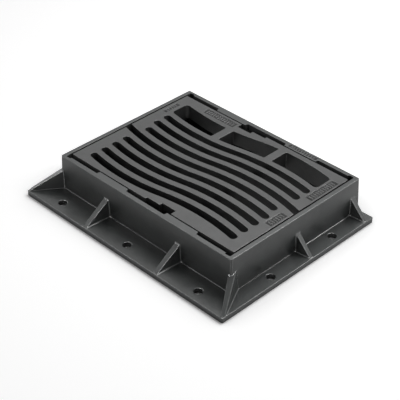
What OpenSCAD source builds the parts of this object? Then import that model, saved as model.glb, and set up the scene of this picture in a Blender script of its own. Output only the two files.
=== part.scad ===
// Drain grate of cast iron: a wavy slotted grate that rests in a frame with a flange on three sides.
// The origin is the middle of the frame's footprint, on the ground. The kerb side is +Y, +Z is up.

/* [Rim] */
// Length of the rim over its outside, at the top
rim_length = 550; // [480:1:640]
// Depth of the rim over its outside, at the top
rim_depth = 419; // [400:1:480]
// Height from the ground to the top of the rim
frame_height = 100; // [80:1:160]
// Thickness of the walls at the top
wall_t = 11; // [7:0.5:14]
// How far each wall leans out on its way down to the ground
wall_lean = 3.3; // [0.5:0.1:8]
// Chamfer round the outside of the rim
rim_chamfer = 1; // [0.5:0.5:3]
// Leg of the flat that breaks each upright outer corner
corner_leg = 3; // [1:0.5:8]

/* [Guide pads] */
// How far the pads on the long walls stand in from the wall
pad_depth = 8.5; // [4:0.5:12]
// Length of a pad where it faces the grate
pad_length = 95; // [60:1:120]
// Extra length at each end of a pad where it leaves the wall
pad_flare = 2; // [0.5:0.5:5]
// Distance from the middle of the frame to the middle of a pad
pad_centre = 111; // [100:1:130]

/* [Corner reliefs] */
// Length of the relief cut in each inner corner, along the long wall
relief_length = 15; // [10:1:30]
// Depth of that relief into the long wall
relief_depth = 4; // [3.5:0.5:5]
// Radius of the corners of that relief
relief_r = 3; // [1:0.5:3]

/* [Seat] */
// Width of the ledge that carries the grate
seat_width = 22; // [18:1:28]
// Thickness of the ledge at its inner edge
seat_t = 12; // [8:1:18]
// Height over which the ledge's underside slopes back to the wall
seat_haunch = 18; // [6:1:24]

/* [Flange] */
// Thickness of the flange
flange_t = 13; // [8:1:20]
// Width of the flange in front of the long wall
flange_front = 69; // [50:0.5:110]
// Width of the flange beside each short wall
flange_side = 42.2; // [30:0.1:70]
// How far the side flanges stop short of the foot of the kerb-side wall
flange_back = 1; // [0.5:0.5:20]
// Radius of the flange's outer corners
flange_corner_r = 3; // [3:1:20]
// Diameter of the fixing holes
hole_d = 20; // [12:1:26]
// Distance from the front edge to the front row of holes
front_hole_edge = 27.5; // [20:0.5:35]
// Distance from one front hole to the next
front_hole_pitch = 223; // [190:1:240]
// Distance from each side edge to its row of holes
side_hole_edge = 21.5; // [16:0.5:26]
// Distance between the two holes of a side row
side_hole_pitch = 203; // [160:1:230]
// How far each side row is shifted from the middle of the rim, towards the front
side_hole_shift = 9.5; // [-20:0.5:20]

/* [Gussets] */
// Height of the gussets above the flange, at the wall
gusset_height = 43; // [25:1:60]
// Gap between a gusset's tip and the edge of the flange
gusset_inset = 2.5; // [1:0.5:8]
// Width of a front gusset along its ridge, at the wall
front_gusset_ridge = 14; // [8:0.5:20]
// Width of a front gusset where its foot meets the wall
front_gusset_foot = 23; // [12:0.5:30]
// Width of a front gusset at its tip
front_gusset_tip = 11; // [6:0.5:14]
// Distance from the middle of the frame to each front gusset
front_gusset_x = 116; // [80:1:150]
// Width of a side gusset along its ridge, at the wall
side_gusset_ridge = 12; // [8:0.5:18]
// Width of a side gusset where its foot meets the wall
side_gusset_foot = 17; // [10:0.5:26]
// Width of a side gusset at its tip
side_gusset_tip = 10; // [6:0.5:14]
// Distance from the back wall to the rear gusset of each side
rear_gusset_inset = 26; // [16:1:60]
// Width of a corner gusset along its ridge, at the wall
corner_gusset_ridge = 14; // [8:0.5:18]
// Width of a corner gusset where its foot meets the walls
corner_gusset_foot = 20; // [12:0.5:26]
// Width of a corner gusset at its tip
corner_gusset_tip = 8; // [6:0.5:12]

/* [Grate] */
// Depth of the grate from its top to its seat
grate_t = 42; // [34:1:55]
// Least width of the grate's border in front of the last slot
front_border = 11; // [8:0.5:20]
// Gap between the grate and each short wall
end_gap = 4.3; // [2:0.1:8]
// Gap between the grate and each pad
pad_gap = 3.5; // [2:0.1:6]
// Width of a slot
slot_width = 18.7; // [14:0.1:22]
// Distance from one slot to the next
slot_pitch = 33.5; // [30:0.1:36]
// Distance from the middle of the grate to the outer end of a full slot
slot_reach = 230.5; // [190:0.5:234]
// How much sooner the two open slots end at their closed end
open_slot_short = 8; // [0:0.5:20]
// How far a slot's walls part on each side from the top to the underside
slot_draft = 1.5; // [0:0.1:3]
// Radius of the wave, from trough to crest and back
wave_r = 561; // [450:1:1200]
// Distance from the middle of the grate to the trough and to the crest
wave_reach = 116.5; // [90:0.5:130]
// Distance from the kerb-side edge of the grate to the middle of the wide inlets
inlet_margin = 52.5; // [46:0.5:60]
// Width of the two bars between the wide inlets
inlet_bar = 21.6; // [14:0.1:30]
// Distance from the middle of the grate to the middle of those bars
inlet_bar_x = 75.6; // [60:0.1:90]
// Radius of the outer corners of the wide inlets
inlet_corner_r = 10; // [4:0.5:16]
// Radius of the corners beside the two bars
inlet_bar_r = 3; // [1:0.5:6]
// Width of the rim that bears on the seat, under the edge of the grate
rest_width = 22; // [18:1:28]
// How far the bars stop short of the seat
bar_recess = 5; // [2:1:12]
// Width of the cross ribs below the bars
rib_width = 14; // [8:1:20]
// Depth from the top down to the cross ribs
rib_drop = 24; // [20:1:30]

/* [Lifting notches] */
// Length of the deep part of each notch
notch_length = 42; // [25:1:50]
// Depth of the deep part
notch_depth = 15; // [8:0.5:16]
// Length of the shallow part beside it
step_length = 39.5; // [20:0.5:50]
// Depth of the shallow part
step_depth = 6; // [3:0.5:8]
// Distance from the middle of the grate to where the two parts meet
notch_start = 29; // [20:1:40]

/* [Hidden] */
over = 1;
big = 4 * rim_length;

foot_x = rim_length / 2 + wall_lean;
foot_y = rim_depth / 2 + wall_lean;
inner_x = rim_length / 2 - wall_t;
inner_y = rim_depth / 2 - wall_t;
seat_z = frame_height - grate_t;
base_x = foot_x + flange_side;
base_front = foot_y + flange_front;
rim_shift = (base_front - foot_y) / 2;

grate_x = inner_x - end_gap;
grate_y = inner_y - pad_depth - pad_gap;
half_slot = slot_width / 2;
rise = wave_r - sqrt(wave_r * wave_r - wave_reach * wave_reach);
wave_steps = 24;
arc_steps = 6;
last_slot = floor((slot_y(0) + grate_y - rise - half_slot - front_border) / slot_pitch);
// The third and the fourth slot are the two that run out through the grate's ends
open_back = 2;
open_front = 3;
inlet_width = 2 * slot_width + (slot_pitch - slot_width);
inlet_y = grate_y - inlet_margin;

// Place of the middle of slot number n, counted from the inlets, where it crosses the middle of the grate
function slot_y(n) = grate_y - inlet_margin - (n + 1.5) * slot_pitch;

// The wave: a trough and a crest of one radius, which meet in a smooth turn at the middle
function wave(x) = x < 0
    ? -rise + wave_r - sqrt(wave_r * wave_r - pow(x + wave_reach, 2))
    : rise - wave_r + sqrt(wave_r * wave_r - pow(x - wave_reach, 2));

// A stretch of the wave from x0 to x1, shifted by dy
function stretch(x0, x1, dy) = [for (i = [0 : wave_steps])
    let (x = x0 + (x1 - x0) * i / wave_steps) [x, dy + wave(x)]];

// Two quarter circles that round an end, on the right where side is 1 and on the left where it is -1.
// Their points lie at the middle of each step, so that no point is met twice.
function end_arcs(x, y, half, r, side) = [for (s = [side, -side], i = [0 : arc_steps - 1])
    let (t = 90 * (i + 0.5) / arc_steps, turn = s == side ? t : 90 - t)
    [x + side * r * sin(turn), y + s * (half - r + r * cos(turn))]];

// Outline with the half width half that follows the wave from a to b, where r_a and r_b round its ends
function wave_outline(y, a, b, half, r_a, r_b) = concat(
    stretch(a, b, y + half),
    r_b > 0 ? end_arcs(b, y + wave(b), half, r_b, 1) : [],
    stretch(b, a, y - half),
    r_a > 0 ? end_arcs(a, y + wave(a), half, r_a, -1) : []);

// Block with leaning sides that reach half at the top and half + lean on the ground
module leaning_block(half, lean, chamfer) {
    low = half + lean;
    high = half + lean / frame_height * chamfer;
    rotate([90, 0, 0])
        linear_extrude(big, center = true)
            polygon([[-low, 0], [low, 0], [high, frame_height - chamfer], [half - chamfer, frame_height],
                     [-half + chamfer, frame_height], [-high, frame_height - chamfer]]);
}

module frame_outside() {
    corner_half = (rim_length / 2 + rim_depth / 2 - corner_leg) / sqrt(2);
    intersection() {
        leaning_block(rim_length / 2, wall_lean, rim_chamfer);
        rotate([0, 0, 90]) leaning_block(rim_depth / 2, wall_lean, rim_chamfer);
        rotate([0, 0, 45]) leaning_block(corner_half, wall_lean * sqrt(2), rim_chamfer / 2);
        rotate([0, 0, -45]) leaning_block(corner_half, wall_lean * sqrt(2), rim_chamfer / 2);
    }
}

// Plate with four round corners
module rounded_plate(x0, x1, y0, y1, r, height) {
    linear_extrude(height) {
        translate([x0 + r, y0]) square([x1 - x0 - 2 * r, y1 - y0]);
        translate([x0, y0 + r]) square([x1 - x0, y1 - y0 - 2 * r]);
        for (x = [x0 + r, x1 - r], y = [y0 + r, y1 - r])
            translate([x, y]) circle(r, $fn = 48);
    }
}

// Prism under the ledge: the clear opening at the top, widening down to the inner walls
module lower_prism(open_half, inner_half) {
    rotate([90, 0, 0])
        linear_extrude(big, center = true)
            polygon([[-open_half, seat_z + over], [open_half, seat_z + over],
                     [open_half, seat_z - seat_t], [inner_half, seat_z - seat_t - seat_haunch],
                     [inner_half, -over], [-inner_half, -over],
                     [-inner_half, seat_z - seat_t - seat_haunch], [-open_half, seat_z - seat_t]]);
}

module lower_cavity() {
    intersection() {
        lower_prism(inner_x - seat_width, inner_x);
        rotate([0, 0, 90]) lower_prism(inner_y - seat_width, inner_y);
    }
}

module corner_relief() {
    translate([inner_x - relief_length, inner_y - over, seat_z])
        linear_extrude(grate_t + over) {
            square([relief_length, over + relief_depth - relief_r]);
            translate([relief_r, 0]) square([relief_length - 2 * relief_r, over + relief_depth]);
            for (x = [relief_r, relief_length - relief_r])
                translate([x, over + relief_depth - relief_r]) circle(relief_r, $fn = 32);
        }
}

module upper_pocket() {
    translate([-inner_x, -inner_y, seat_z])
        cube([2 * inner_x, 2 * inner_y, grate_t + over]);
    for (a = [0, 1], b = [0, 1])
        mirror([a, 0, 0]) mirror([0, b, 0]) corner_relief();
}

module guide_pad() {
    face = pad_length / 2;
    root = face + pad_flare;
    translate([0, inner_y, seat_z - over])
        linear_extrude(grate_t + over)
            polygon([[-face, -pad_depth], [face, -pad_depth], [root, 0], [root, wall_t / 2],
                     [-root, wall_t / 2], [-root, 0]]);
}

// Gusset that stands on the flange and leans on a wall at y = 0, with its tip at y = -reach.
// It runs on into the wall by sink and down into the flange, so that the casting is one piece.
module gusset(reach, ridge, foot, tip, sink) {
    taper = atan((foot - tip) / 2 / reach);
    lean = atan((foot - ridge) / 2 / gusset_height);
    back_z = flange_t + gusset_height * (reach + sink) / reach;
    difference() {
        rotate([90, 0, 90])
            linear_extrude(2 * foot, center = true)
                polygon([[sink, flange_t / 2], [-reach, flange_t / 2], [-reach, flange_t], [sink, back_z]]);
        for (side = [0, 1])
            mirror([side, 0, 0])
                translate([foot / 2, 0, flange_t])
                    rotate([0, -lean, -taper])
                        translate([0, -rim_depth / 2, -rim_depth / 2])
                            cube([foot * 2, rim_depth, rim_depth]);
    }
}

// Gusset from an upright corner to the corner of the flange, where the flange's inset outline trims it
module corner_gusset() {
    turn = atan2(flange_side, flange_front);
    reach = norm([flange_side, flange_front]) - gusset_inset;
    intersection() {
        translate([foot_x, -foot_y, 0])
            rotate([0, 0, turn])
                gusset(reach, corner_gusset_ridge, corner_gusset_foot, corner_gusset_tip, corner_gusset_foot);
        rounded_plate(-base_x, base_x - gusset_inset, -base_front + gusset_inset, foot_y,
                      flange_corner_r - gusset_inset, frame_height);
    }
}

module gussets() {
    sink = wall_t / 2;
    reach_front = flange_front - gusset_inset;
    reach_side = flange_side - gusset_inset;
    for (x = [-front_gusset_x, front_gusset_x])
        translate([x, -foot_y, 0])
            gusset(reach_front, front_gusset_ridge, front_gusset_foot, front_gusset_tip, sink);
    for (side = [0, 1], y = [0, foot_y - rear_gusset_inset])
        mirror([side, 0, 0])
            translate([foot_x, y, 0])
                rotate([0, 0, 90])
                    gusset(reach_side, side_gusset_ridge, side_gusset_foot, side_gusset_tip, sink);
    for (side = [0, 1])
        mirror([side, 0, 0]) corner_gusset();
}

module fixing_holes() {
    front_y = -base_front + front_hole_edge;
    side_x = base_x - side_hole_edge;
    for (i = [-1 : 1])
        translate([i * front_hole_pitch, front_y, -over])
            cylinder(h = flange_t + 2 * over, d = hole_d, $fn = 48);
    for (x = [-side_x, side_x], i = [-1, 1])
        translate([x, i * side_hole_pitch / 2 - side_hole_shift, -over])
            cylinder(h = flange_t + 2 * over, d = hole_d, $fn = 48);
}

module frame() {
    color([0.2, 0.21, 0.21])
        translate([0, rim_shift, 0]) {
            difference() {
                union() {
                    frame_outside();
                    rounded_plate(-base_x, base_x, -base_front, foot_y - flange_back, flange_corner_r, flange_t);
                    gussets();
                }
                upper_pocket();
                lower_cavity();
                fixing_holes();
            }
            for (x = [-pad_centre, pad_centre], turn = [0, 180])
                rotate([0, 0, turn]) translate([x, 0, 0]) guide_pad();
        }
}

// Cutter with an outline that grows by the draft from the top of the grate to its underside
module drafted_cut(top, bottom) {
    n = len(top);
    z_top = grate_t + over;
    z_low = -over;
    polyhedron(
        points = concat([for (p = top) [p.x, p.y, z_top]], [for (p = bottom) [p.x, p.y, z_low]]),
        faces = concat([[for (i = [0 : n - 1]) i]], [[for (i = [n - 1 : -1 : 0]) n + i]],
                       [for (i = [0 : n - 1]) let (j = (i + 1) % n) [i, n + i, n + j, j]]));
}

module wave_slot(n) {
    y = slot_y(n);
    open_right = n == open_back;
    open_left = n == open_front;
    reach = slot_reach - half_slot;
    a = open_left ? -grate_x - over : -reach + (open_right ? open_slot_short : 0);
    b = open_right ? grate_x + over : reach - (open_left ? open_slot_short : 0);
    low = half_slot + slot_draft;
    drafted_cut(wave_outline(y, a, b, half_slot, open_left ? 0 : half_slot, open_right ? 0 : half_slot),
                wave_outline(y, a, b, low, open_left ? 0 : low, open_right ? 0 : low));
}

// Wide inlet between x0 and x1, with the corner radii r_0 and r_1 at its ends
module inlet(x0, x1, r_0, r_1) {
    translate([0, 0, -over])
        linear_extrude(grate_t + 2 * over)
            polygon(wave_outline(inlet_y, x0 + r_0, x1 - r_1, inlet_width / 2, r_0, r_1));
}

module inlets() {
    edge = inlet_bar_x + inlet_bar / 2;
    gap = inlet_bar_x - inlet_bar / 2;
    inlet(-slot_reach, -edge, inlet_corner_r, inlet_bar_r);
    inlet(-gap, gap, inlet_bar_r, inlet_bar_r);
    inlet(edge, slot_reach, inlet_bar_r, inlet_corner_r);
}

// Two step notch in one long edge, for a lifting bar
module lifting_notch() {
    translate([0, -grate_y - over, -over])
        linear_extrude(grate_t + 2 * over) {
            translate([notch_start, 0]) square([notch_length, notch_depth + over]);
            translate([notch_start - step_length, 0]) square([step_length + over, step_depth + over]);
        }
}

// Cross ribs low in the slots of one half. The bar between the two open slots stays free.
module cross_ribs() {
    back_y = slot_y(open_back) + slot_pitch / 2;
    front_y = slot_y(open_front) - slot_pitch / 2;
    height = grate_t - rib_drop - bar_recess;
    for (x = [-inlet_bar_x, inlet_bar_x])
        translate([x - rib_width / 2, 0, bar_recess]) {
            translate([0, back_y + wave(x), 0])
                cube([rib_width, inlet_y - back_y - wave(x), height]);
            translate([0, -grate_y + rest_width, 0])
                cube([rib_width, grate_y - rest_width + front_y + wave(x), height]);
        }
}

// The plate with the slots cut from number 0 to number n
module slotted_plate(n) {
    difference() {
        if (n > 0)
            slotted_plate(n - 1);
        else
            translate([-grate_x, -grate_y, 0]) cube([2 * grate_x, 2 * grate_y, grate_t]);
        wave_slot(n);
    }
}

module underside_recess() {
    translate([-grate_x + rest_width, -grate_y + rest_width, -over])
        cube([2 * (grate_x - rest_width), 2 * (grate_y - rest_width), bar_recess + over]);
}

module grate() {
    color([0.42, 0.43, 0.43])
        translate([0, rim_shift, seat_z]) {
            difference() {
                slotted_plate(last_slot);
                inlets();
                for (turn = [0, 180])
                    rotate([0, 0, turn]) lifting_notch();
                underside_recess();
            }
            cross_ribs();
        }
}

frame();
grate();
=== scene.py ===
"""Drain grate of painted cast iron in its frame, on a white studio floor.

Each casting is a copy of its CAD node with sunken fields cut into its top and its edges rounded, and stands for the
node. Lengths are in metres.
"""
import math

import bmesh
import bpy
from mathutils import Matrix, Vector
from mathutils.geometry import delaunay_2d_cdt

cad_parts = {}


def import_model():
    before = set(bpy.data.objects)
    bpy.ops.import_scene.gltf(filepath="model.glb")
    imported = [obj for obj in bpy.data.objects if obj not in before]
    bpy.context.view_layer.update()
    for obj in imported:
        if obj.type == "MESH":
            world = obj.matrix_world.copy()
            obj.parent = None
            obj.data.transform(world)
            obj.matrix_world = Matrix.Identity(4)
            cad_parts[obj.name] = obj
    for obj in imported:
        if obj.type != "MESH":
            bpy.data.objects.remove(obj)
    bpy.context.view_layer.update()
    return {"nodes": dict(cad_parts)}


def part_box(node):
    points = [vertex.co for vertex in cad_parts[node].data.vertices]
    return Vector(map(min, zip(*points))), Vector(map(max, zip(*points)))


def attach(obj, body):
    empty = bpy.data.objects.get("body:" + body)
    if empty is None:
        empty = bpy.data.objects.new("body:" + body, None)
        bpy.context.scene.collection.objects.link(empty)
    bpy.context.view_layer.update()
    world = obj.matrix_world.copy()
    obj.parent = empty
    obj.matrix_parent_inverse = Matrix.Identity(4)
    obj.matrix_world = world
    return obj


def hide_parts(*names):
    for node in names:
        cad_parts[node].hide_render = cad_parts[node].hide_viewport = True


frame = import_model()

MM = 0.001

# Camera: a point on its axis, the distance to it, its angles in degrees, its lens and sensor in mm, and how far it sees
CAMERA_TARGET = (0.0303, -0.02245, 0.050)
CAMERA_DISTANCE = 2.6819
CAMERA_AZIMUTH = 45.135
CAMERA_ELEVATION = 35.85
CAMERA_LENS = 106.1
CAMERA_SENSOR = 36
CAMERA_CLIP_END = 50

# Painted shade: the paint is darkened where a surface is hemmed in, in recesses and corners. How far from a surface it
# reaches, the shares of open sky at which it is darkest and gone, and how much of the paint's brightness is left where
# it is darkest
PAINTED_SHADE_REACH = 0.04
PAINTED_SHADE_SKY = (0.25, 0.85)
PAINTED_SHADE = 0.15
PAINTED_SHADE_SAMPLES = 6

# Noise, in cells a metre and levels of detail: patches of tone and of gloss, and the casting's lumps and grain
TONE_NOISE = (18.0, 4.0)
GLOSS_NOISE = (45.0, 5.0)
LUMP_NOISE = (110.0, 2.0)
GRAIN_NOISE = (650.0, 2.0)
NOISE_ROUGHNESS = 0.55

# The part of the noise's range that the patches use, and how far the roughness strays to either side
TONE_RANGE = (0.35, 0.65)
GLOSS_RANGE = (0.3, 0.7)
GLOSS_SPREAD = 0.06

# Finishes: tint, darkest and lightest tone, roughness, heights of grain and lumps in mm, and specular level
BLACK_TINT = (0.94, 1.04, 1.02)
WORN_TINT = (0.98, 1.01, 1.01)
FINISHES = {
    "black_paint": (BLACK_TINT, 0.046, 0.063, 0.34, 0.10, 0.12, 0.5),
    # The edge finishes are lighter than their flat finishes: a painted highlight on the rounded edges
    "black_paint_painted_highlight": (BLACK_TINT, 0.070, 0.100, 0.24, 0.03, 0.06, 1.0),
    "worn_paint": (WORN_TINT, 0.044, 0.060, 0.40, 0.14, 0.12, 0.5),
    "worn_paint_painted_highlight": (WORN_TINT, 0.080, 0.110, 0.26, 0.03, 0.06, 1.0),
    # A near-black finish for field floors and for the gap between grate and rim: painted shade
    "painted_shade_recess": (WORN_TINT, 0.014, 0.030, 0.75, 0.20, 0.20, 0.28),
}

# A casting's material slots: its flat faces, its rounded edges, painted lighter as a painted highlight, and its
# recesses, painted near black as painted shade
FLAT, ROUNDED, RECESS = 0, 1, 2

# Middle of the rim, half sides just outside the frame's opening, and half sides just inside the grate's outline
RIM_Y = 34.5 * MM
OPENING = (266 * MM, 200.5 * MM)
GRATE_HALF = (258.5 * MM, 185 * MM)

# An edge is rounded where its faces meet at more than the first angle, and removed where they meet at less than
# the second
FEATURE_ANGLE = math.radians(27)
FLAT_ANGLE = math.radians(0.3)

# Points of the CAD mesh and of the cut mesh that are closer than this are joined
DOUBLED = 0.005 * MM
WELD = 0.4 * MM

# Edges make one smooth run where they turn less than this, and steps of an arc, which are short, may turn more
NEARLY_STRAIGHT = math.radians(20)
ARC_STEP = math.radians(32)
LONGEST_STEP = 5 * MM

# How wide edges are rounded: outside and inside the frame, on the grate, and in the inward corners of both
OUTER_EDGE = 1.4 * MM
INNER_EDGE = 0.5 * MM
GRATE_EDGE = 0.7 * MM
FRAME_FILLET = 2.5 * MM
GRATE_FILLET = 0.8 * MM

# The share of the room beside an edge that its rounding may take, the widest rounding, the width that a short
# neighbour always leaves, and the steps across a rounding
SHARE = 0.4
MAX_WIDTH = 2.5 * MM
LEAST_WIDTH = 0.8 * MM
ROUNDING_STEPS = 3

# A face is level where its normal's height is over the first, and upright where it is under the second, and faces
# this near in height are at the same height
LEVEL = 0.9
UPRIGHT = 0.5
SAME_HEIGHT = 0.1 * MM

# Sunken fields with plain bars, where such castings carry their lettering. BAR_REACH is the bars' share of a field's
# width, and the boxes that cut a field overlap a little and rise above the top
FIELD_DEPTH = 1.5 * MM
FIELD_PITCH = 7.5 * MM
BAR_WIDTH = 2.8 * MM
BAR_REACH = 0.62
CUTTER_OVERLAP = 0.02 * MM
CUTTER_RISE = 1 * MM

# Each field's middle from the middle of the rim, its length and width, and its turn in degrees
GRATE_FIELDS = [
    ((-128 * MM, 170.5 * MM), (100 * MM, 20 * MM), 0),
    ((245 * MM, 112.5 * MM), (93 * MM, 20 * MM), 90),
    ((245 * MM, -39.5 * MM), (53 * MM, 20 * MM), 90),
    ((-246 * MM, 119 * MM), (48 * MM, 12 * MM), 90),
]
FRAME_FIELDS = [((113 * MM, 200 * MM), (86 * MM, 11.5 * MM), 0)]

# How a face is split: the kind of result that stays inside its outline, and how near in mm two points are one.
# The last is a squared length that counts as none
INSIDE_ONLY = 1
SAME_POINT = 1e-4
NO_LENGTH = 1e-12

# Floor: half its side, its grey and roughness, the glow that a viewer sees in the open, how far from the object a
# painted shadow dims that glow, and the share of open sky at which the glow is gone
FLOOR_HALF = 6
FLOOR_GREY = 0.9
FLOOR_ROUGHNESS = 0.9
FLOOR_GLOW = 0.68
PAINTED_SHADOW_REACH = 0.11
PAINTED_SHADOW_SKY = 0.38
PAINTED_SHADOW_SAMPLES = 8

# Lamps: name, azimuth and elevation in degrees, side, level, and whether the lamp shows in reflections alone
LAMP_TARGET = (0, 0, 0.05)
LAMP_DISTANCE = 2.5
LAMPS = [
    ("high_back", 180, 70, 1.0, 0.349, False),
    ("back", 180, 50, 1.2, 0.074, False),
    ("left_back", 225, 50, 1.2, 0.100, True),
    ("right_back", 135, 50, 1.2, 0.100, False),
    ("front_card", 0, 30, 0.8, 0.834, True),
    ("left_card", 270, 30, 0.8, 0.194, True),
    ("camera_card", 45, 30, 0.8, 0.120, True),
    ("right_rim", 134, 36, 0.5, 0.230, True),
    ("front_ridges", 84, 13, 0.4, 0.300, True),
    ("front_rim", 316, 35, 0.5, 0.110, True),
    ("flange_card", 225, 60, 1.0, 0.080, True),
    ("right_foot", 95, 24, 0.35, 0.250, True),
]


# Placing

def new_object(name, data):
    piece = bpy.data.objects.new(name, data)
    bpy.context.scene.collection.objects.link(piece)
    return piece


def direction(azimuth, elevation):
    """Unit vector from the object towards a viewer at these angles, where azimuth 0 looks along +Y."""
    a, e = math.radians(azimuth), math.radians(elevation)
    return Vector((math.sin(a) * math.cos(e), -math.cos(a) * math.cos(e), math.sin(e)))


def aim(piece, place, target):
    piece.location = place
    piece.rotation_euler = (Vector(target) - Vector(place)).to_track_quat("-Z", "Y").to_euler()


def camera():
    data = bpy.data.cameras.new("camera")
    data.lens = CAMERA_LENS
    data.sensor_width = CAMERA_SENSOR
    data.clip_end = CAMERA_CLIP_END
    piece = new_object("camera", data)
    place = Vector(CAMERA_TARGET) + direction(CAMERA_AZIMUTH, CAMERA_ELEVATION) * CAMERA_DISTANCE
    aim(piece, place, CAMERA_TARGET)
    bpy.context.scene.camera = piece


# Materials

class Nodes:
    """Short calls that add nodes to a node tree and join them."""

    def __init__(self, tree):
        self.tree = tree

    def add(self, kind, inputs=None, **settings):
        node = self.tree.nodes.new(kind)
        for key, value in settings.items():
            setattr(node, key, value)
        self.join(node, inputs or {})
        return node

    def join(self, node, inputs):
        """Gives a node's inputs their values, or links them where the value is a socket."""
        for key, value in inputs.items():
            if isinstance(value, bpy.types.NodeSocket):
                self.tree.links.new(value, node.inputs[key])
            else:
                node.inputs[key].default_value = value

    def noise(self, scale, detail):
        coordinates = self.add("ShaderNodeTexCoord")
        return self.add("ShaderNodeTexNoise", {"Vector": coordinates.outputs["Object"], "Scale": scale,
                                               "Detail": detail, "Roughness": NOISE_ROUGHNESS}).outputs["Fac"]

    def ramp(self, factor, low, high, dark, light):
        """Maps low to high on a factor to dark to light."""
        return self.add("ShaderNodeMapRange", {"Value": factor, "From Min": low, "From Max": high,
                                               "To Min": dark, "To Max": light}).outputs["Result"]

    def seen(self):
        """1 for rays that look at a surface from the camera, in a reflection or through glass, and 0 for the rest."""
        path = self.add("ShaderNodeLightPath").outputs
        direct = self.add("ShaderNodeMath", {0: path["Is Camera Ray"], 1: path["Is Glossy Ray"]})
        return self.add("ShaderNodeMath", {0: direct.outputs[0], 1: path["Is Transmission Ray"]},
                        use_clamp=True).outputs[0]


def new_material(name):
    """A material, its nodes and its shader."""
    material = bpy.data.materials.new(name)
    material.use_nodes = True
    return material, Nodes(material.node_tree), material.node_tree.nodes["Principled BSDF"]


def iron(name, tint, dark, light, roughness, grain, lumps, specular):
    """Painted cast iron, from the values that FINISHES lists."""
    material, n, shader = new_material(name)
    patches = n.ramp(n.noise(*TONE_NOISE), *TONE_RANGE, dark, light)
    # painted shade: the base colour is darkened where ambient occlusion finds little open sky
    shelter = n.add("ShaderNodeAmbientOcclusion", {"Distance": PAINTED_SHADE_REACH}, samples=PAINTED_SHADE_SAMPLES)
    recess_shade = n.ramp(shelter.outputs["AO"], *PAINTED_SHADE_SKY, PAINTED_SHADE, 1.0)
    shade = n.add("ShaderNodeMath", {0: patches, 1: recess_shade}, operation="MULTIPLY")
    colour = n.add("ShaderNodeVectorMath", {0: tint, "Scale": shade.outputs[0]}, operation="SCALE")
    rough = n.ramp(n.noise(*GLOSS_NOISE), *GLOSS_RANGE, roughness - GLOSS_SPREAD, roughness + GLOSS_SPREAD)
    coarse = n.add("ShaderNodeBump", {"Height": n.noise(*LUMP_NOISE), "Distance": lumps * MM, "Strength": 1.0})
    fine = n.add("ShaderNodeBump", {"Height": n.noise(*GRAIN_NOISE), "Distance": grain * MM, "Strength": 1.0,
                                    "Normal": coarse.outputs["Normal"]})
    n.join(shader, {"Base Color": colour.outputs["Vector"], "Roughness": rough, "Normal": fine.outputs["Normal"],
                    "Specular IOR Level": specular})
    return material


# Sunken fields

def box(bm, centre, size, turn, low, high):
    """A box in a bmesh, turned about the upright axis through its centre."""
    place = Matrix.Translation((centre[0], centre[1], (low + high) / 2))
    turned = place @ Matrix.Rotation(math.radians(turn), 4, "Z")
    bmesh.ops.create_cube(bm, size=1, matrix=turned @ Matrix.Diagonal((size[0], size[1], high - low, 1)))


def field_cutter(fields, top):
    """The space of all the fields: in each, a box along either side, one at either end and one between the bars."""
    bm = bmesh.new()
    gap = FIELD_PITCH - BAR_WIDTH
    for (x, y), (length, width), turn in fields:
        along = Vector((math.cos(math.radians(turn)), math.sin(math.radians(turn))))
        across = Vector((-along.y, along.x))
        count = int(length / FIELD_PITCH) - 1
        end = (length - count * FIELD_PITCH + gap) / 2
        border = width * (1 - BAR_REACH) / 2
        inner = width - 2 * border
        pieces = [(0.0, (width - border) / 2, length, border), (0.0, -(width - border) / 2, length, border)]
        pieces += [((i - count / 2) * FIELD_PITCH, 0.0, gap, inner) for i in range(1, count)]
        pieces += [(side * (length - end) / 2, 0.0, end, inner) for side in (-1, 1)]
        for u, v, du, dv in pieces:
            centre = Vector((x, y + RIM_Y)) + along * u + across * v
            size = (du + CUTTER_OVERLAP, dv + CUTTER_OVERLAP)
            box(bm, centre, size, turn, top - FIELD_DEPTH, top + CUTTER_RISE)
    mesh = bpy.data.meshes.new("field_cutter")
    bm.to_mesh(mesh)
    bm.free()
    return new_object("field_cutter", mesh)


def with_fields(mesh, fields, top):
    """The mesh with the fields cut into its top."""
    cutter = field_cutter(fields, top)
    piece = new_object("uncut", mesh)
    cut = piece.modifiers.new("fields", "BOOLEAN")
    cut.operation = "DIFFERENCE"
    cut.solver = "EXACT"
    cut.use_self = True
    cut.object = cutter
    bpy.context.view_layer.update()
    result = bpy.data.meshes.new_from_object(piece.evaluated_get(bpy.context.evaluated_depsgraph_get()))
    for spare in (piece, cutter):
        bpy.data.objects.remove(spare)
    return result


# Rounded edges

def reach(point, edge):
    """Distance from a point to an edge."""
    start, end = (v.co for v in edge.verts)
    along = end - start
    share = max(0.0, min(1.0, (point - start).dot(along) / max(along.length_squared, NO_LENGTH)))
    return (point - start - along * share).length


def follows(edge, other, corner):
    """True where two edges that meet at a corner make one smooth line: nearly straight on, or steps of one arc."""
    before = corner.co - edge.other_vert(corner).co
    after = other.other_vert(corner).co - corner.co
    turn = before.angle(after, math.pi)
    return turn < (NEARLY_STRAIGHT if min(before.length, after.length) > LONGEST_STEP else ARC_STEP)


def runs(edges):
    """For each edge, the first edge of the smooth run that it belongs to."""
    run = {}
    for first in edges:
        waiting = [] if first in run else [first]
        while waiting:
            edge = waiting.pop()
            run[edge] = first
            for corner in edge.verts:
                waiting += [other for other in corner.link_edges
                            if other in edges and other not in run and follows(edge, other, corner)]
    return run


def room(edge, middles, run):
    """How far an edge is from the other runs of edges on its faces that it doesn't touch."""
    width = MAX_WIDTH / SHARE
    middle, half = middles[edge]
    for face in edge.link_faces:
        for other in face.edges:
            if other not in middles or run[other] is run[edge] or set(other.verts) & set(edge.verts):
                continue
            far, other_half = middles[other]
            if (far - middle).length - half - other_half < width:
                marks = [(point, other) for point in (middle, *(v.co for v in edge.verts))]
                marks += [(point, edge) for point in (far, *(v.co for v in other.verts))]
                width = min(width, *(reach(point, line) for point, line in marks))
    return width


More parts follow.
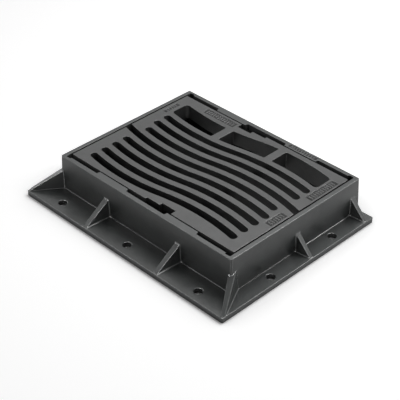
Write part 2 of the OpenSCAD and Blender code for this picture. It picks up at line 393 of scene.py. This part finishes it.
def rounding_widths(bm, convex, fillet):
    """A width for each edge that is rounded, the same along a smooth run, so that no two roundings meet."""
    middles = {edge: (edge.verts[0].co.lerp(edge.verts[1].co, 0.5), edge.calc_length() / 2) for edge in bm.edges
               if len(edge.link_faces) == 2 and edge.calc_face_angle(0.0) > FEATURE_ANGLE}
    run = runs(middles)
    lengths, widths = {}, {}
    for edge, first in run.items():
        lengths[first] = lengths.get(first, 0.0) + edge.calc_length()
    for edge, first in run.items():
        limits = [convex(edge) if edge.is_convex else fillet, room(edge, middles, run) * SHARE]
        limits += [max(lengths[run[other]] * SHARE, LEAST_WIDTH)
                   for corner in edge.verts for other in corner.link_edges
                   if other in run and run[other] is not first]
        widths[first] = min(widths.get(first, MAX_WIDTH), *limits)
    return {edge: widths[first] for edge, first in run.items()}


def triangles(corners, upward):
    """A flat face's corners joined into clean triangles: all its points, with each one's corner, and the triples."""
    side = upward.orthogonal().normalized()
    across = upward.cross(side)
    flat = [Vector(((point - corners[0]).dot(side), (point - corners[0]).dot(across))) / MM for point in corners]
    outline = list(range(len(flat)))
    places, _, triples, sources, _, owners = delaunay_2d_cdt(flat, [], [outline], INSIDE_ONLY, SAME_POINT)
    points = [corners[0] + (side * place.x + across * place.y) * MM for place in places]
    inside = [triple for triple, owner in zip(triples, owners) if owner]
    return points, [source[0] if source else None for source in sources], inside


def settled(piece, low, high):
    """The piece's mesh inside its box with its modifiers applied, and many-sided faces split into triangles."""
    mesh = bpy.data.meshes.new_from_object(piece.evaluated_get(bpy.context.evaluated_depsgraph_get()))
    points = [Vector(max(low[i], min(high[i], vertex.co[i])) for i in range(3)) for vertex in mesh.vertices]
    faces, normals, slots = [], [], []
    for polygon in mesh.polygons:
        corners = [(point, mesh.corner_normals[loop].vector.copy())
                   for point, loop in zip(polygon.vertices, polygon.loop_indices)]
        parts = [range(len(corners))]
        if len(corners) > 4:
            places, sources, parts = triangles([points[point] for point, _ in corners], polygon.normal)
            old, corners = corners, []
            for place, source in zip(places, sources):
                if source is None:
                    points.append(place)
                corners.append((len(points) - 1, polygon.normal.copy()) if source is None else old[source])
        for part in parts:
            if len({corners[k][0] for k in part}) == len(part):
                faces.append([corners[k][0] for k in part])
                normals += [corners[k][1] for k in part]
                slots.append(polygon.material_index)
    result = bpy.data.meshes.new(piece.name)
    result.from_pydata(points, [], faces)
    for material in piece.data.materials:
        result.materials.append(material)
    result.polygons.foreach_set("material_index", slots)
    result.polygons.foreach_set("use_smooth", [True] * len(faces))
    result.update()
    result.normals_split_custom_set(normals)
    return result


# Castings

def sheltered(face, top):
    """True for the bottom of a field and for the walls of the gap between the grate and the rim: the faces painted near
    black as painted shade.
    """
    middle = face.calc_center_median()
    x, y = abs(middle.x), abs(middle.y - RIM_Y)
    in_gap = x < OPENING[0] and y < OPENING[1] and (x > GRATE_HALF[0] or y > GRATE_HALF[1])
    if in_gap and abs(face.normal.z) < UPRIGHT:
        return True
    return face.normal.z > LEVEL and abs(middle.z - top + FIELD_DEPTH) < SAME_HEIGHT


def cut_copy(node, fields, top):
    """A copy of a CAD node's mesh with its doubled points joined and its fields cut."""
    mesh = frame["nodes"][node].data.copy()
    bm = bmesh.new()
    bm.from_mesh(mesh)
    bmesh.ops.remove_doubles(bm, verts=bm.verts, dist=DOUBLED)
    bm.to_mesh(mesh)
    bm.free()
    return with_fields(mesh, fields, top)


def prepare(mesh, convex, fillet, top):
    """Joins near points and faces in one plane, and gives edges their rounding and faces their material slot."""
    bm = bmesh.new()
    bm.from_mesh(mesh)
    bmesh.ops.remove_doubles(bm, verts=bm.verts, dist=WELD)
    bmesh.ops.dissolve_degenerate(bm, dist=WELD, edges=bm.edges)
    bmesh.ops.dissolve_limit(bm, angle_limit=FLAT_ANGLE, verts=bm.verts, edges=bm.edges)
    weight = bm.edges.layers.float.new("bevel_weight_edge")
    for edge, width in rounding_widths(bm, convex, fillet).items():
        edge[weight] = width / MAX_WIDTH
    for face in bm.faces:
        face.smooth = True
        # field floors and gap walls get the near-black recess finish, painted shade
        face.material_index = RECESS if sheltered(face, top) else FLAT
    bm.to_mesh(mesh)
    bm.free()


def casting(node, name, materials, convex, fillet, fields, top):
    """A copy of a CAD node with its fields cut and its edges rounded as a casting's are."""
    mesh = cut_copy(node, fields, top)
    mesh.name = name
    mesh.materials.clear()
    for material in materials:
        mesh.materials.append(material)
    prepare(mesh, convex, fillet, top)
    piece = new_object(name, mesh)
    bevel = piece.modifiers.new("rounding", "BEVEL")
    bevel.limit_method = "WEIGHT"
    bevel.width = MAX_WIDTH
    bevel.segments = ROUNDING_STEPS
    bevel.use_clamp_overlap = False
    # the rounding's faces take the lighter edge finish, a painted highlight
    bevel.material = ROUNDED
    normals = piece.modifiers.new("normals", "WEIGHTED_NORMAL")
    normals.keep_sharp = True
    bpy.context.view_layer.update()
    finished = settled(piece, *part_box(node))
    piece.modifiers.clear()
    piece.data = finished
    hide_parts(node)
    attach(piece, "root")


def frame_edge(edge):
    """How wide an outward edge of the frame is rounded: less inside the opening than on its outside."""
    middle = edge.verts[0].co.lerp(edge.verts[1].co, 0.5)
    inside = abs(middle.x) < OPENING[0] and abs(middle.y - RIM_Y) < OPENING[1]
    return INNER_EDGE if inside else OUTER_EDGE


def grate_edge(edge):
    """How wide an outward edge of the grate is rounded."""
    return GRATE_EDGE


def castings():
    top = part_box("frame")[1][2]
    finish = {name: iron(name, *values) for name, values in FINISHES.items()}
    black = [finish[name] for name in ("black_paint", "black_paint_painted_highlight", "painted_shade_recess")]
    worn = [finish[name] for name in ("worn_paint", "worn_paint_painted_highlight", "painted_shade_recess")]
    casting("frame", "frame_casting", black, frame_edge, FRAME_FILLET, FRAME_FIELDS, top)
    casting("grate", "grate_casting", worn, grate_edge, GRATE_FILLET, GRATE_FIELDS, top)


# Studio

def world():
    """White to a viewer, in reflections and through glass, and no other light from it."""
    scene_world = bpy.data.worlds.new("studio")
    bpy.context.scene.world = scene_world
    scene_world.use_nodes = True
    n = Nodes(scene_world.node_tree)
    n.join(n.tree.nodes["Background"], {"Color": (1, 1, 1, 1), "Strength": n.seen()})


def floor():
    """A pale floor that is white in the open to a viewer, keeps the object's shadow from the lamps, and has a painted
    shadow near the object where its glow is dimmed.
    """
    mesh = bpy.data.meshes.new("floor")
    bm = bmesh.new()
    bmesh.ops.create_grid(bm, x_segments=1, y_segments=1, size=FLOOR_HALF)
    bm.to_mesh(mesh)
    bm.free()
    piece = new_object("floor", mesh)
    material, n, shader = new_material("floor_white")
    # painted shadow: the floor's glow is dimmed where ambient occlusion finds the object near
    shelter = n.add("ShaderNodeAmbientOcclusion", {"Distance": PAINTED_SHADOW_REACH}, samples=PAINTED_SHADOW_SAMPLES)
    open_glow = n.ramp(shelter.outputs["AO"], PAINTED_SHADOW_SKY, 1.0, 0.0, FLOOR_GLOW)
    glow = n.add("ShaderNodeMath", {0: n.seen(), 1: open_glow}, operation="MULTIPLY")
    n.join(shader, {"Base Color": (FLOOR_GREY, FLOOR_GREY, FLOOR_GREY, 1), "Roughness": FLOOR_ROUGHNESS,
                    "Specular IOR Level": 0.0, "Emission Color": (1, 1, 1, 1), "Emission Strength": glow.outputs[0]})
    piece.data.materials.append(material)


def area_light(name, azimuth, elevation, size, level, reflection_only):
    """A square lamp that gives a facing white surface this brightness, or one that shows in reflections alone."""
    data = bpy.data.lights.new(name, "AREA")
    data.shape = "SQUARE"
    data.size = size
    data.energy = level * (math.pi * LAMP_DISTANCE) ** 2
    piece = new_object(name, data)
    piece.visible_diffuse = not reflection_only
    aim(piece, direction(azimuth, elevation) * LAMP_DISTANCE, LAMP_TARGET)


camera()
castings()
world()
floor()
for lamp in LAMPS:
    area_light(*lamp)

bpy.context.scene.view_settings.view_transform = "Standard"
